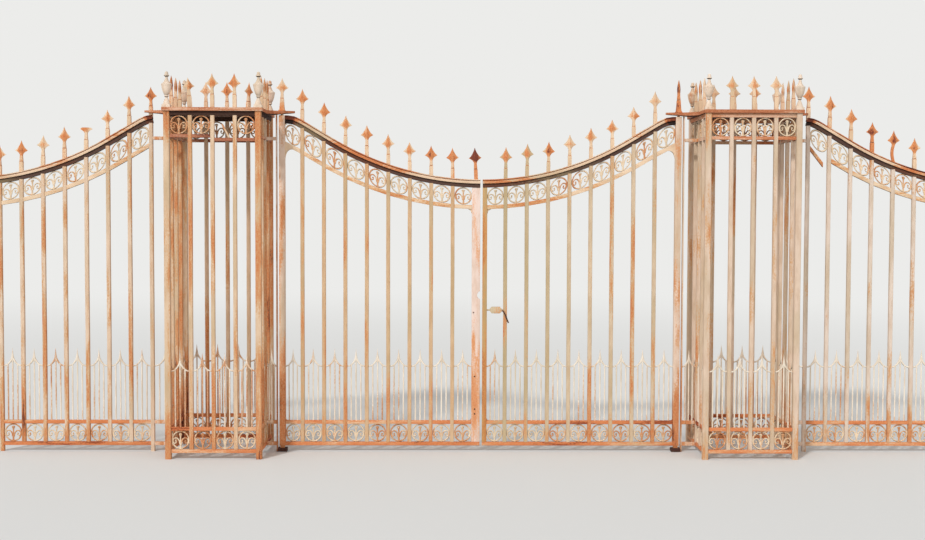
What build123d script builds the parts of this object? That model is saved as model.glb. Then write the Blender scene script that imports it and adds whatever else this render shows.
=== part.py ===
from build123d import *
import math
import os

# Pair of swept driveway gates hung between two open cage piers, with a bay run of fence on
# each side. Millimetres, +Z up. The model is laid out about the middle of the opening, with
# Y = 0 in the plane of the gates and the street side at -Y. It is then moved as a whole, so
# that the origin is at the foot of the left pier's inner street post.

os.makedirs("parts", exist_ok=True)

# Bars and posts
bar_side = 32.0            # square bars of the leaves, wings and piers
post_side = 48.0           # corner posts of the piers
stile_side = 50.0          # hanging stiles
dog_width = 13.0           # short bars between the main bars
panel_depth = 12.0         # depth of the short bars and their swags, front to back

# Opening and leaves
hinge_reach = 1657.0       # middle of the opening to a pivot
leaf_bars = 8              # square bars in a leaf
first_bay_left = 127.0     # clear width of the bay beside the left hanging stile
first_bay_right = 154.0    # clear width of the bay beside the right hanging stile
closing_bay_left = 146.0   # clear width of the bay beside the left meeting stile
closing_bay_right = 137.0  # clear width of the bay beside the right meeting stile
stile_left_width = 70.0    # broad meeting stile of the left leaf
stile_right_width = 38.0   # meeting stile of the right leaf
stile_left_depth = 20.0
meeting_gap = 20.0         # between the two meeting stiles
notch_radius = 36.0        # round bite in the edge of the broad stile
notch_depth = 24.0
notch_height = 1320.0
seat_gap = 0.3             # bars and castings to the curved rail they meet

# Levels
rail_height = 30.0
rail_depth = 28.0
leaf_foot = 50.0           # underside of the leaves and of every bottom rail
base_band = 152.0          # clear height of the base band between its rails
swag_low = 723.0           # top of the swags where they meet the bars
spike_base = 800.0
spike_tip = 867.0
swag_thickness = 9.6
swag_knee = 0.72           # where the swag's bend lies, as a share of its run

# Sweep of the leaves and wings, measured outwards from the low end
sweep_low = 2252.0         # joint between cap and under-rail at the low end
sweep_radius = 2445.0      # of the joint; the other lines run parallel to it
sweep_angle = 30.6         # degrees, where the curve runs on straight
cap_height = 38.0
cap_depth = 50.0
under_rail_height = 30.0
under_rail_depth = 30.0
frieze_band = 147.0        # under-rail to the lower frieze rail
frieze_rail_height = 34.0
wing_sweep_cut = 65.0      # the wing's sweep is this much shorter than the leaf's

# Piers
pier_bays = 4
pier_clear = 148.25        # clear width of a pier bay
jamb_span_left = 148.0     # pivot to the middle of the pier's inner posts
jamb_span_right = 181.0
broken_ring = 1            # bay of the left pier's street face that has lost its ring
plate_low = 2825.0         # underside of the cap plate
plate_thickness = 28.0
plate_overhang = 12.0
pier_top_rail_height = 35.0
pier_frieze_band = 152.0
pier_frieze_rail_height = 28.0
ear_reach = 108.0          # ear beyond the pivot
ear_half_width = 52.0
ear_root_half_width = 150.0
ear_gap = 7.0              # cap of the leaf to the ear above it
ear_waist = 70.0           # half width of the ear midway between its root and the pivot

# Jamb and link bays
jamb_clear = 41.0          # pivot to the jamb bar
jamb_width = 10.0
jamb_depth = 40.0
link_span_left = 205.0     # middle of the pier's outer posts to the wing's first post
link_span_right = 172.0
wing_bays = 7
wing_clear = 148.0         # clear width of a wing bay

# Pivots
pin_radius = 12.0
pin_clearance = 0.3
socket_side = 76.0
socket_height = 30.0
shoulder_side = 36.0       # foot of the hanging stile, above the pivot block
pin_foot = 8.0             # underside of the bottom pin
pin_head_gap = 6.0         # top of the upper pin to the top of the ear

# Rings, finials and urns
ring_section = 11.0
ring_depth = 12.0
ring_play = 0.5            # ring clear of the rails above and below it
rail_shaft_height = 72.0   # shaft above the swept cap, up to the collar of the arrowhead
pier_shaft_height = 98.0   # the same on the piers and their ears
head_width = 116.0
head_height = 175.0        # neck and arrowhead together, above the collar
neck_height = 60.0
neck_width = 25.0
widest_height = 92.0       # from the collar to the widest line
head_thickness = 26.0
head_waist = 24.0          # half width where the head's sides are most hollow
waist_height = 118.0       # from the collar to that place
urn_levels = ((0.0, 33.0), (22.0, 31.0), (66.0, 13.0), (168.0, 43.0), (180.0, 42.0),
              (214.0, 15.0), (248.0, 21.0), (288.0, 8.0))      # height and radius
ear_foot_height = 24.0     # flared foot under the ear's arrowhead
ear_foot_side = 58.0

# Hollow-edged braces in the corners of the leaves
brace_reach = 36.0         # along the rail
brace_drop = 42.0          # along the meeting stile
hinge_brace_drop = 90.0    # along the hanging stile
base_brace = 20.0
frieze_brace = 22.0        # beside the last ring
brace_hollow = 0.4         # how far the free edge is drawn in towards the corner

# Lock case on the right leaf
lock_length = 100.0
lock_height = 55.0
lock_depth = 34.0
lock_corner = 16.0
lock_start = 26.0          # narrow meeting stile to the case
strap_height = 12.0        # strap that carries the case between stile and bar
strap_depth = 8.0
lock_level = 1195.0        # middle of the case

# Worked out from the sizes above
base_low = leaf_foot + rail_height
base_top = base_low + base_band
panel_foot = base_top + rail_height
pier_width = pier_bays * pier_clear + (pier_bays - 1) * bar_side + post_side
half_pier = pier_width / 2
pier_rail_low = plate_low - pier_top_rail_height
pier_frieze_top = pier_rail_low - pier_frieze_band
pier_frieze_low = pier_frieze_top - pier_frieze_rail_height
plate_top = plate_low + plate_thickness
leaf_cap_top = plate_low - ear_gap
flat_level = leaf_cap_top - cap_height
frieze_top = -under_rail_height - frieze_band
frieze_bottom = frieze_top - frieze_rail_height
jamb_near = hinge_reach + jamb_clear
jamb_far = jamb_near + jamb_width
angle = math.radians(sweep_angle)
octagon = math.tan(math.pi / 8)

origin = Location((hinge_reach + jamb_span_left, half_pier, 0))


def block(x0, x1, y0, y1, z0, z1):
    """Box between two corners, given in any order along X."""
    size = (abs(x1 - x0), y1 - y0, z1 - z0)
    return Pos((x0 + x1) / 2, (y0 + y1) / 2, (z0 + z1) / 2) * Box(*size)


def bar(x, side, z0, z1, y=0.0):
    return block(x - side / 2, x + side / 2, y - side / 2, y + side / 2, z0, z1)


def upright_plate(points, depth, y=0.0):
    """Plate of a given outline in X and Z, centred on y."""
    outline = Polyline(*[(x, y - depth / 2, z) for x, z in points], close=True)
    return extrude(make_face(outline), amount=depth, dir=(0, 1, 0))


def closed_solid(polygons):
    """Solid bounded by flat polygons."""
    faces = [Face(Wire.make_polygon([Vector(*p) for p in polygon], close=True))
             for polygon in polygons]
    return Solid(Shell(faces))


def sweep_breaks(offset):
    """Where a line of the sweep, offset upwards from the joint, runs straight and level."""
    radius = sweep_radius - offset
    centre = sweep_low + sweep_radius
    level = flat_level + offset
    turn = radius * math.sin(angle)
    rise = centre - radius * math.cos(angle)
    if rise >= level:
        turn = math.sqrt(radius ** 2 - (centre - level) ** 2)
        return turn, turn
    return turn, turn + (level - rise) / math.tan(angle)


def sweep_point(offset, reach):
    """Height at a distance from the low end, on a line offset upwards from the joint."""
    turn, top = sweep_breaks(offset)
    arc_end = min(reach, turn)
    height = sweep_low + sweep_radius - math.sqrt((sweep_radius - offset) ** 2 - arc_end ** 2)
    return height + (max(min(reach, top), turn) - turn) * math.tan(angle)


def sweep_line(offset, start, end, y):
    """Edges of one line of the sweep: an arc, then a straight, then a level."""
    def at(reach):
        return (reach, y, sweep_point(offset, reach))
    turn, top = sweep_breaks(offset)
    edges = []
    if start < turn:
        stop = min(end, turn)
        edges.append(ThreePointArc(at(start), at((start + stop) / 2), at(stop)))
    corners = [start] if start >= turn else [min(end, turn)]
    corners += [reach for reach in (top, end) if corners[0] < reach <= end]
    corners = sorted(set(corners))
    edges += [Line(at(a), at(b)) for a, b in zip(corners, corners[1:])]
    return edges


def sweep_band(low, high, start, end, depth):
    """Band of the swept top rail between two offsets, drawn to the right of the low end."""
    y = -depth / 2
    edges = sweep_line(high, start, end, y) + sweep_line(low, start, end, y)
    for reach in (start, end):
        edges.append(Line((reach, y, sweep_point(low, reach)),
                          (reach, y, sweep_point(high, reach))))
    return extrude(make_face(edges), amount=depth, dir=(0, 1, 0))


def ring(x, z, half_width, half_height, slope=0.0):
    """Eight-sided ring with flats towards the bars and rails, thinning to its inner edge.

    In a sloping frieze it is drawn out of square, so that two flats lie along the rails.
    """
    def loop(width, height, y):
        points = []
        for k in range(8):
            turn = math.pi / 8 + k * math.pi / 4
            across = width * math.cos(turn) / math.cos(math.pi / 8)
            up = height * math.sin(turn) / math.cos(math.pi / 8)
            points.append((x + across, y, z + up + slope * across))
        return points
    front = loop(half_width, half_height, -ring_depth / 2)
    back = loop(half_width, half_height, ring_depth / 2)
    inner = loop(half_width - ring_section, half_height - ring_section, 0)
    polygons = []
    for k in range(8):
        j = (k + 1) % 8
        polygons.append([front[k], front[j], back[j], back[k]])
        for outer in (front, back):
            polygons.append([outer[k], outer[j], inner[j]])
            polygons.append([outer[k], inner[j], inner[k]])
    return closed_solid(polygons)


def comb(x0, x1, foot=panel_foot, low=swag_low, base=spike_base, tip=spike_tip):
    """Three short bars and the swag that ties them, in the clear bay from x0 to x1."""
    clear = x1 - x0
    gap = (clear - 3 * dog_width) / 4
    middle = (x0 + x1) / 2
    half_dog = dog_width / 2
    first = x0 + gap + half_dog
    run = middle - half_dog - x0
    rise = base - low
    radius = (run ** 2 + rise ** 2) / (2 * rise)

    def swag(x):
        reach = min(x - x0, x1 - x)
        return low + radius - math.sqrt(radius ** 2 - min(reach, run) ** 2)

    knee = run * swag_knee
    left_top = [(x0, low), (x0 + knee, swag(x0 + knee)), (middle - half_dog, base)]
    right_top = [(x1 + x0 - x, z) for x, z in left_top[::-1]]
    under = swag(first) - swag_thickness
    legs = [(x1, low - swag_thickness)]
    for centre in (x0 + x1 - first, middle, first):
        head = under if centre != middle else swag(middle - half_dog - gap / 2)
        legs += [(centre + half_dog, head), (centre + half_dog, foot),
                 (centre - half_dog, foot), (centre - half_dog, head)]
    legs += [(x0, low - swag_thickness)]
    return upright_plate(left_top + [(middle, tip)] + right_top + legs, panel_depth)


def arrowhead(x, y, foot, z, turned=False):
    """Shaft, neck and four-pointed head with concave edges, as one casting.

    foot holds the heights of the shaft's base at its low and high side in X.
    """
    b = bar_side / 2
    n = neck_width / 2
    w = head_width / 2
    t = head_thickness / 2
    z1 = z + neck_height
    z2 = z + widest_height
    z3 = z + head_height
    shoulder = z + waist_height
    tip = (0, 0, z3)
    left = (-w, 0, z2)
    right = (w, 0, z2)
    polygons = [[(-b, -b, foot[0]), (-b, b, foot[0]), (b, b, foot[1]), (b, -b, foot[1])]]
    for s in (-1, 1):
        apex = (0, s * t, z2)
        outline = [tip, (-head_waist, 0, shoulder), left, (-n, s * n, z1), (n, s * n, z1), right,
                   (head_waist, 0, shoulder), tip]
        for a, c in zip(outline, outline[1:]):
            polygons.append([apex, a, c])
        base = foot[0] if s < 0 else foot[1]
        polygons.append([(-b, s * b, foot[0]), (b, s * b, foot[1]), (b, s * b, z), (-b, s * b, z)])
        polygons.append([(-b, s * b, z), (b, s * b, z), (n, s * n, z1), (-n, s * n, z1)])
        polygons.append([(s * b, -b, base), (s * b, b, base), (s * b, b, z), (s * b, -b, z)])
        polygons.append([(s * b, -b, z), (s * b, b, z), (s * n, n, z1), (s * n, -n, z1)])
        polygons.append([(s * w, 0, z2), (s * n, -n, z1), (s * n, n, z1)])
    place = Pos(x, y, 0) * Rot(0, 0, 90 if turned else 0)
    return place * closed_solid(polygons)


def urn(x, y, z):
    """Lidded urn on a square-set foot, eight-sided."""
    rings = []
    for height, radius in urn_levels:
        stretch = radius / math.cos(math.pi / 8)
        rings.append([(stretch * math.cos(math.pi / 8 + k * math.pi / 4),
                       stretch * math.sin(math.pi / 8 + k * math.pi / 4), z + height)
                      for k in range(8)])
    polygons = [rings[0], rings[-1]]
    for low, high in zip(rings, rings[1:]):
        for k in range(8):
            j = (k + 1) % 8
            polygons.append([low[k], low[j], high[j], high[k]])
    return Pos(x, y, 0) * closed_solid(polygons)


def pier_inner_post(side):
    """Middle of the opening to the inner posts of a pier."""
    return hinge_reach + (jamb_span_left if side < 0 else jamb_span_right)


def wing_first_post(side):
    """Middle of the opening to the first post of a wing."""
    return pier_inner_post(side) + pier_width + (link_span_left if side < 0 else link_span_right)


def mirror_x(solid, side):
    return solid if side > 0 else solid.mirror(Plane.YZ)


def save(name, solids):
    solids = [s for item in solids for s in item.solids()]
    shape = Compound(children=solids) if len(solids) > 1 else solids[0]
    shape = origin * shape
    shape.label = name
    export_step(shape, f"parts/{name}.step")


def rows(centres, widths):
    """Clear spans between neighbours, from the centre and width of each."""
    spans = []
    for a, b in zip(range(len(centres)), range(1, len(centres))):
        spans.append((centres[a] + widths[a] / 2, centres[b] - widths[b] / 2))
    return spans


def swept_panel(uprights, widths, start, end):
    """Rails, rings and combs of a swept panel on the right of its low end."""
    top = sweep_band(0, cap_height, start, end, cap_depth)
    top += sweep_band(-under_rail_height, 0, start, end, under_rail_depth)
    frieze = []
    base = []
    rings = []
    combs = []
    for a, b in rows(uprights, widths):
        frieze.append(upright_plate([(a, sweep_point(frieze_top, a)),
                                     (b, sweep_point(frieze_top, b)),
                                     (b, sweep_point(frieze_bottom, b)),
                                     (a, sweep_point(frieze_bottom, a))], rail_depth))
        base.append(block(a, b, -rail_depth / 2, rail_depth / 2, base_top, panel_foot))
        middle = (a + b) / 2
        half_width = (b - a) / 2
        corner = octagon * half_width
        slope = (sweep_point(frieze_top, b) - sweep_point(frieze_top, a)) / (b - a)
        above = min(sweep_point(-under_rail_height, middle + reach) - slope * reach
                    for reach in (-corner, 0, corner))
        below = sweep_chord(frieze_top, a, b, middle)
        rings.append(ring(middle, (above + below) / 2, half_width,
                          (above - below) / 2 - ring_play, slope))
        combs.append(comb(a, b))
    return top, frieze, base, rings, combs


def sweep_chord(offset, a, b, reach):
    """Height on the straight line that joins two points of the sweep."""
    low = sweep_point(offset, a)
    return low + (sweep_point(offset, b) - low) * (reach - a) / (b - a)


def swept_bar(reach, side, foot):
    """Square bar whose top follows the underside of the swept rail."""
    a = reach - side / 2
    b = reach + side / 2
    return upright_plate([(a, foot), (b, foot),
                          (b, sweep_point(-under_rail_height, b) - seat_gap),
                          (a, sweep_point(-under_rail_height, a) - seat_gap)], side)


def rail_arrowhead(reach):
    """Arrowhead casting seated on the swept cap."""
    a = reach - bar_side / 2
    b = reach + bar_side / 2
    level_start = sweep_breaks(cap_height)[1]
    peak = min(max(level_start, a), b)
    lift = sweep_point(cap_height, peak) - sweep_chord(cap_height, a, b, peak) + seat_gap
    foot = (sweep_point(cap_height, a) + lift, sweep_point(cap_height, b) + lift)
    return arrowhead(reach, 0, foot, sweep_point(cap_height, reach) + rail_shaft_height)


def leaf(side_name, side):
    """One leaf, drawn on the right of the opening and mirrored for the left."""
    first_bay = first_bay_left if side < 0 else first_bay_right
    closing_bay = closing_bay_left if side < 0 else closing_bay_right
    stile_width = stile_left_width if side < 0 else stile_right_width
    stile_depth = stile_left_depth if side < 0 else bar_side
    edge = 0.0 if side < 0 else meeting_gap
    inner_face = hinge_reach - stile_side / 2
    clear = inner_face - edge - stile_width - leaf_bars * bar_side
    gap = (clear - first_bay - closing_bay) / (leaf_bars - 1)
    first = edge + stile_width + closing_bay + bar_side / 2
    bars = [first + k * (gap + bar_side) for k in range(leaf_bars)]
    uprights = [edge + stile_width / 2] + bars + [hinge_reach]
    widths = [stile_width] + [bar_side] * leaf_bars + [stile_side]
    top, frieze, base, rings, combs = swept_panel(uprights, widths, edge, inner_face)
    base.append(block(edge, inner_face, -rail_depth / 2, rail_depth / 2, leaf_foot, base_low))
    near, far = rows(uprights, widths)[0], rows(uprights, widths)[-1]
    frieze.append(brace(frieze_bottom, near, 0, brace_reach, brace_drop))
    frieze.append(brace(frieze_bottom, far, 1, brace_reach, hinge_brace_drop))
    frieze.append(brace(-under_rail_height, far, 1, frieze_brace, frieze_brace))
    for x, way in ((near[0], 1), (far[1], -1)):
        base.append(corner_plate((x, panel_foot), (x + way * base_brace, panel_foot),
                                 (x, panel_foot + base_brace)))

    hanging = bar(hinge_reach, stile_side, leaf_foot, leaf_cap_top)
    pin_top = plate_top - pin_head_gap
    hanging += pin(hinge_reach, leaf_cap_top, pin_top)
    shoulder_foot = socket_height + pin_clearance
    hanging += bar(hinge_reach, shoulder_side, shoulder_foot, leaf_foot)
    hanging += pin(hinge_reach, pin_foot, shoulder_foot)

    stile_top = sweep_point(-under_rail_height, edge) - seat_gap
    meeting = block(edge, edge + stile_width, -stile_depth / 2, stile_depth / 2,
                    base_low, stile_top)
    heads = [rail_arrowhead(u) for u in bars]
    if side < 0:
        meeting -= Pos(notch_depth - notch_radius, 0, notch_height) * Rot(90, 0, 0) * Cylinder(
            notch_radius, stile_depth * 2)
        heads.append(rail_arrowhead(edge + stile_width / 2))

    name = f"{side_name}_leaf"
    save(f"{name}_hanging_stile", [mirror_x(hanging, side)])
    save(f"{name}_meeting_stile", [mirror_x(meeting, side)])
    save(f"{name}_bars", [mirror_x(swept_bar(u, bar_side, base_low), side) for u in bars])
    save(f"{name}_top_rail", [mirror_x(top, side)])
    save(f"{name}_frieze_rail", [mirror_x(s, side) for s in frieze])
    save(f"{name}_frieze_rings", [mirror_x(s, side) for s in rings])
    save(f"{name}_base_rails", [mirror_x(s, side) for s in base])
    save(f"{name}_dog_bars", [mirror_x(s, side) for s in combs])
    save(f"{name}_arrowheads", [mirror_x(s, side) for s in heads])
    if side > 0:
        save("lock_case", [lock(edge + stile_width, bars[0] - bar_side / 2)])


def brace(offset, bay, end, reach, drop):
    """Corner plate under a swept line, at the near (0) or far (1) end of a clear bay."""
    a, b = bay
    x = bay[end]
    along = x + reach * (1 - 2 * end)
    corner = (x, sweep_chord(offset, a, b, x))
    return corner_plate(corner, (along, sweep_chord(offset, a, b, along)),
                        (x, corner[1] - drop))


def corner_plate(corner, rail_end, stile_end):
    """Three-cornered plate whose free edge is drawn in towards its corner."""
    hollow = [(r + s) / 2 + brace_hollow * (c - (r + s) / 2)
              for c, r, s in zip(corner, rail_end, stile_end)]
    return upright_plate([corner, rail_end, tuple(hollow), stile_end], panel_depth)


def pin(x, z0, z1):
    return Pos(x, 0, (z0 + z1) / 2) * Cylinder(pin_radius, z1 - z0)


def lock(stile_face, bar_face):
    """Flat case with its corners cut off, on a strap from the meeting stile to the first bar."""
    start = stile_face + lock_start
    end = start + lock_length
    low = lock_level - lock_height / 2
    high = lock_level + lock_height / 2
    case = upright_plate([(start + lock_corner, low), (end - lock_corner, low),
                          (end, low + lock_corner), (end, high - lock_corner),
                          (end - lock_corner, high), (start + lock_corner, high),
                          (start, high - lock_corner), (start, low + lock_corner)], lock_depth)
    strap = block(stile_face, bar_face, -strap_depth / 2, strap_depth / 2,
                  lock_level - strap_height / 2, lock_level + strap_height / 2)
    return case + strap


def wing(side_name, side):
    """Fence run beside a pier; its low end is far out, so reaches run back to the pier."""
    wing_first = wing_first_post(side)
    wing_origin = wing_first + hinge_reach - wing_sweep_cut
    places = [wing_first + k * (wing_clear + bar_side) for k in range(wing_bays + 1)]
    reaches = [wing_origin - x for x in places][::-1]
    widths = [bar_side] * len(reaches)
    start = reaches[0] - bar_side / 2
    end = reaches[-1] + bar_side / 2
    top, frieze, base, rings, combs = swept_panel(reaches, widths, start, end)
    base.append(block(start + bar_side, end - bar_side, -rail_depth / 2, rail_depth / 2,
                      leaf_foot, base_low))
    posts = [swept_bar(u, bar_side, 0 if u in (reaches[0], reaches[-1]) else base_low)
             for u in reaches]

    def place(solid):
        return mirror_x(Pos(wing_origin, 0, 0) * solid.mirror(Plane.YZ), side)

    name = f"{side_name}_wing"
    save(f"{name}_bars", [place(s) for s in posts])
    save(f"{name}_top_rail", [place(top)])
    save(f"{name}_frieze_rail", [place(s) for s in frieze])
    save(f"{name}_frieze_rings", [place(s) for s in rings])
    save(f"{name}_base_rails", [place(s) for s in base])
    save(f"{name}_dog_bars", [place(s) for s in combs])
    save(f"{name}_arrowheads", [place(rail_arrowhead(u)) for u in reaches])


def pier(side_name, side):
    """Open cage pier with four alike faces, its cap plate, ears, jamb bay and link bay."""
    name = f"{side_name}_pier"
    pier_inner = pier_inner_post(side)
    wing_first = wing_first_post(side)
    pier_middle = pier_inner + half_pier
    pier_outer = pier_inner + pier_width
    centre = Pos(pier_middle, 0, 0)
    corners = [(i * half_pier, j * half_pier) for i in (-1, 1) for j in (-1, 1)]
    posts = [centre * bar(x, post_side, 0, plate_low, y) for x, y in corners]
    first = -half_pier + post_side / 2 + pier_clear + bar_side / 2
    bar_places = [first + k * (pier_clear + bar_side) for k in range(pier_bays - 1)]
    widths = [post_side] + [bar_side] * (pier_bays - 1) + [post_side]
    spans = rows([-half_pier] + bar_places + [half_pier], widths)

    face_bars = [bar(x, bar_side, base_low, pier_rail_low) for x in bar_places]
    low, high = spans[0][0], spans[-1][1]
    face_base = [block(low, high, -rail_depth / 2, rail_depth / 2, leaf_foot, base_low)]
    face_frieze = [block(low, high, -rail_depth / 2, rail_depth / 2, pier_rail_low, plate_low)]
    face_rings = []
    face_combs = []
    for a, b in spans:
        face_base.append(block(a, b, -rail_depth / 2, rail_depth / 2, base_top, panel_foot))
        face_frieze.append(block(a, b, -rail_depth / 2, rail_depth / 2,
                                 pier_frieze_low, pier_frieze_top))
        face_rings.append(ring((a + b) / 2, (pier_frieze_top + pier_rail_low) / 2,
                               (b - a) / 2, pier_frieze_band / 2))
        face_combs.append(comb(a, b))
    level = (plate_top, plate_top)
    collar = plate_top + pier_shaft_height
    face_heads = [arrowhead(x, 0, level, collar) for x in bar_places]

    def all_faces(solids):
        placed = []
        for k in range(4):
            turn = Rot(0, 0, 90 * k) * Pos(0, -half_pier, 0)
            placed += [mirror_x(centre * turn * s, side) for s in solids]
        return placed

    half_plate = half_pier + post_side / 2 + plate_overhang
    plate = block(pier_middle - half_plate, pier_middle + half_plate, -half_plate, half_plate,
                  plate_low, plate_top)
    inner_edge = pier_middle - half_plate
    outer_edge = pier_middle + half_plate
    plate += ear(inner_edge, hinge_reach, -1)
    plate -= Pos(hinge_reach, 0, plate_low + plate_thickness / 2) * Cylinder(
        pin_radius + pin_clearance, plate_thickness * 2)
    plate += ear(outer_edge, wing_first, 1)
    plate -= bar(wing_first, bar_side, plate_low - plate_thickness, plate_top + plate_thickness)

    urns = [urn(pier_middle + x, y, plate_top) for x, y in corners]
    foot_top = plate_top + ear_foot_height
    ear_head = arrowhead(hinge_reach, 0, (foot_top, foot_top), collar, turned=side > 0)
    ear_head += closed_solid(frustum(hinge_reach, 0, plate_top, ear_foot_side, foot_top,
                                     bar_side))

    jamb = [block(jamb_near, jamb_far, -jamb_depth / 2, jamb_depth / 2, 0, plate_low)]
    jamb_end = pier_inner - bar_side / 2
    jamb += narrow_bay(jamb_far, jamb_end)
    link = narrow_bay(pier_outer + bar_side / 2, wing_first - bar_side / 2)
    rings = all_faces(face_rings)
    if side < 0:
        del rings[broken_ring]

    save(f"{name}_posts", [mirror_x(s, side) for s in posts])
    save(f"{name}_bars", all_faces(face_bars))
    save(f"{name}_base_rails", all_faces(face_base))
    save(f"{name}_frieze_rails", all_faces(face_frieze))
    save(f"{name}_frieze_rings", rings)
    save(f"{name}_dog_bars", all_faces(face_combs))
    save(f"{name}_cap_plate", [mirror_x(plate, side)])
    save(f"{name}_urns", [mirror_x(s, side) for s in urns])
    save(f"{name}_arrowheads", all_faces(face_heads) + [mirror_x(ear_head, side)])
    save(f"{side_name}_jamb_bay", [mirror_x(s, side) for s in jamb])
    save(f"{side_name}_link_bay", [mirror_x(s, side) for s in link])


def frustum(x, y, z0, side0, z1, side1):
    """Square foot that narrows upwards."""
    def square(side, z):
        h = side / 2
        return [(x - h, y - h, z), (x + h, y - h, z), (x + h, y + h, z), (x - h, y + h, z)]
    low = square(side0, z0)
    high = square(side1, z1)
    return [low, high] + [[low[k], low[(k + 1) % 4], high[(k + 1) % 4], high[k]]
                          for k in range(4)]


def narrow_bay(a, b):
    """Rails and comb of a bay that joins a pier to its neighbour in the gate plane."""
    half = rail_depth / 2
    return [block(a, b, -half, half, leaf_foot, base_low),
            block(a, b, -half, half, base_top, panel_foot),
            block(a, b, -half, half, pier_frieze_low, pier_frieze_top),
            comb(a, b)]


def ear(edge, pivot, way):
    """Tongue of the cap plate over a pivot, concave-sided and round-ended."""
    tip = pivot + way * ear_reach
    neck = pivot + way * (ear_reach - ear_half_width)
    z = plate_low
    root_left = (edge - way * plate_overhang, -ear_root_half_width, z)
    root_right = (edge - way * plate_overhang, ear_root_half_width, z)
    bend = ((edge + pivot) / 2, ear_waist)
    edges = [Line(root_right, root_left),
             ThreePointArc(root_left, (bend[0], -bend[1], z), (pivot, -ear_half_width, z)),
             Line((pivot, -ear_half_width, z), (neck, -ear_half_width, z)),
             ThreePointArc((neck, -ear_half_width, z), (tip, 0, z), (neck, ear_half_width, z)),
             Line((neck, ear_half_width, z), (pivot, ear_half_width, z)),
             ThreePointArc((pivot, ear_half_width, z), (bend[0], bend[1], z), root_right)]
    return extrude(make_face(edges), amount=plate_thickness, dir=(0, 0, 1))


def sockets():
    """Pivot blocks on the ground, one under each hanging stile."""
    for side_name, side in (("left", -1), ("right", 1)):
        x = side * hinge_reach
        half = socket_side / 2
        stone = block(x - half, x + half, -half, half, 0, socket_height)
        stone -= Pos(x, 0, socket_height) * Cylinder(pin_radius + pin_clearance,
                                                     2 * socket_height)
        save(f"{side_name}_pivot_socket", [stone])


for side_name, side in (("left", -1), ("right", 1)):
    leaf(side_name, side)
    wing(side_name, side)
    pier(side_name, side)
sockets()
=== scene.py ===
import math

import bmesh
import bpy
from mathutils import Matrix, Vector


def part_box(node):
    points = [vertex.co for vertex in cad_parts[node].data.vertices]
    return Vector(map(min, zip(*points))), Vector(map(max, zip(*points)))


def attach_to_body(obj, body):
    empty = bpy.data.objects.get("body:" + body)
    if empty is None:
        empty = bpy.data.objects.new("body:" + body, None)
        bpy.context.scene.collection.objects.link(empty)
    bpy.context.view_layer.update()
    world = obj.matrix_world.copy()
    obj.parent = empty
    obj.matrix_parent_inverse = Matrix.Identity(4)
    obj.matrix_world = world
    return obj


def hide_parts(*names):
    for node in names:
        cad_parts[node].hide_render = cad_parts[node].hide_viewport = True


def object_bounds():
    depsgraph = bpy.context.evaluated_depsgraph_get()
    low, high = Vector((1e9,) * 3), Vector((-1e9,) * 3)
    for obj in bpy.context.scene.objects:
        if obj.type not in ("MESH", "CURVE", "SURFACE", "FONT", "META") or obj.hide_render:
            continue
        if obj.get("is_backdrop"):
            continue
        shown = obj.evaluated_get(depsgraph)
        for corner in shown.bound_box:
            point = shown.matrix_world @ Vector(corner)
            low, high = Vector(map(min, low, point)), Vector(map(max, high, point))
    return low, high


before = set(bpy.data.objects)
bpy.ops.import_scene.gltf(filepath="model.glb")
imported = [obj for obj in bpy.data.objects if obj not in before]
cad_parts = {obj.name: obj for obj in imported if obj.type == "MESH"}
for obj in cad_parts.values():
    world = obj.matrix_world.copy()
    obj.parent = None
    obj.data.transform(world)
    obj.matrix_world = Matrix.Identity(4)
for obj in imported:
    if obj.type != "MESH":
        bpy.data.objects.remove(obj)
cad_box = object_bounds()

# Camera, ground and light
# The gates are seen from the drive, a little left of their middle and at head height. The
# ground is one pale level surface that fades into the background, lit by a soft high key
# light from the left and by the sky.
camera_place = (1.508, -10.8855, 2.023)
photo_width = 925
focal_pixels = 1341.6
sensor = 36.0
yaw = math.radians(0.761)
pitch = math.radians(-2.502)
roll = math.radians(0.189)


def linked(name, data):
    """Object with the given data, put into the scene."""
    obj = bpy.data.objects.new(name, data)
    bpy.context.scene.collection.objects.link(obj)
    return obj


camera = linked("camera", bpy.data.cameras.new("camera"))
camera.data.sensor_fit = "HORIZONTAL"
camera.data.sensor_width = sensor
camera.data.lens = focal_pixels * sensor / photo_width
camera.data.clip_end = 200.0
ahead = Vector((math.sin(yaw) * math.cos(pitch), math.cos(yaw) * math.cos(pitch), math.sin(pitch)))
level_right = Vector((math.cos(yaw), -math.sin(yaw), 0.0))
level_up = level_right.cross(ahead)
right = level_right * math.cos(roll) + level_up * math.sin(roll)
up = level_up * math.cos(roll) - level_right * math.sin(roll)
camera_turn = Matrix((right, up, -ahead)).transposed().to_4x4()
camera.matrix_world = Matrix.Translation(camera_place) @ camera_turn
bpy.context.scene.camera = camera
bpy.context.scene.view_settings.view_transform = "Standard"


class Value:
    """An output socket of a node, so that the maths on it reads as a plain expression."""

    def __init__(self, net, socket):
        self.net = net
        self.socket = socket

    def work(self, operation, *values):
        """Maths node on values or numbers."""
        return self.net.node("ShaderNodeMath", values, operation=operation)

    def __add__(self, other):
        return self.work("ADD", self, other)

    def __sub__(self, other):
        return self.work("SUBTRACT", self, other)

    def __rsub__(self, other):
        return self.work("SUBTRACT", other, self)

    def __mul__(self, other):
        return self.work("MULTIPLY", self, other)

    __radd__ = __add__


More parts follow.
